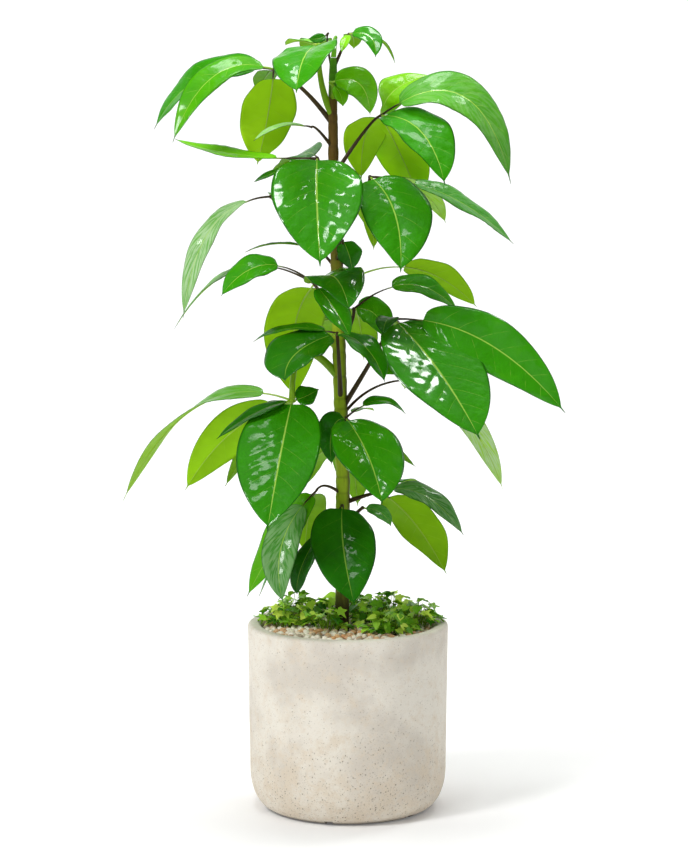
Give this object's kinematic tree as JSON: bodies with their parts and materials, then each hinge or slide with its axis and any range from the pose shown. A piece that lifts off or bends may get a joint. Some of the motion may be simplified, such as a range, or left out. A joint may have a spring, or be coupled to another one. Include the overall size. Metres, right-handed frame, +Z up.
{
  "type": "potted plant",
  "caption": "Upright potted foliage plant with large hand-shaped leaves on one stem, in a round concrete pot with pebbles and ground cover.",
  "frame": {"origin": "on the ground, under the middle of the pot", "axes": "+Z up along the pot's axis, -Y towards the viewer"},
  "size_m": [0.6105, 0.4128, 1.0878],
  "materials": {
    "pot": "matt cast concrete, fine pits",
    "soil": "loose, matt",
    "pebbles": "smooth, matt",
    "stem": "satin bark",
    "young_green": "satin",
    "leaf": "waxy",
    "ground_cover": "satin"
  },
  "bodies": {
    "root": {"pot": "pot", "soil": "soil", "pebbles": "pebbles", "stem": "stem", "stem_tip": "young_green", "leaf_top_left": "leaf", "leaf_crown_left": "leaf", "leaf_crown_right": "leaf", "leaf_crown_front": "leaf", "leaf_crown_small": "leaf", "leaf_upper_right": "leaf", "leaf_sliver": "leaf", "leaf_big_front": "leaf", "leaf_front_right": "leaf", "leaf_left_arch": "leaf", "leaf_left_thin": "leaf", "leaf_stem_front": "leaf", "leaf_middle_left": "leaf", "leaf_right_pale": "leaf", "leaf_middle_back": "leaf", "leaf_middle_front": "leaf", "leaf_right_long": "leaf", "leaf_right_back": "leaf", "leaf_lower_front": "leaf", "leaf_lower_left": "leaf", "leaf_bottom_left": "leaf", "leaf_bottom_front": "leaf", "leaf_bottom_right": "leaf", "leaf_small_right": "leaf", "leaf_back_upper": "leaf", "leaf_back_middle": "leaf", "leaf_back_lower": "leaf", "ground_cover_left": "ground_cover", "ground_cover_back_left": "ground_cover", "ground_cover_back": "ground_cover", "ground_cover_back_right": "ground_cover", "ground_cover_right": "ground_cover", "ground_cover_middle": "ground_cover", "ground_cover_front_right": "ground_cover", "ground_cover_front": "ground_cover"}
  },
  "joints": []
}
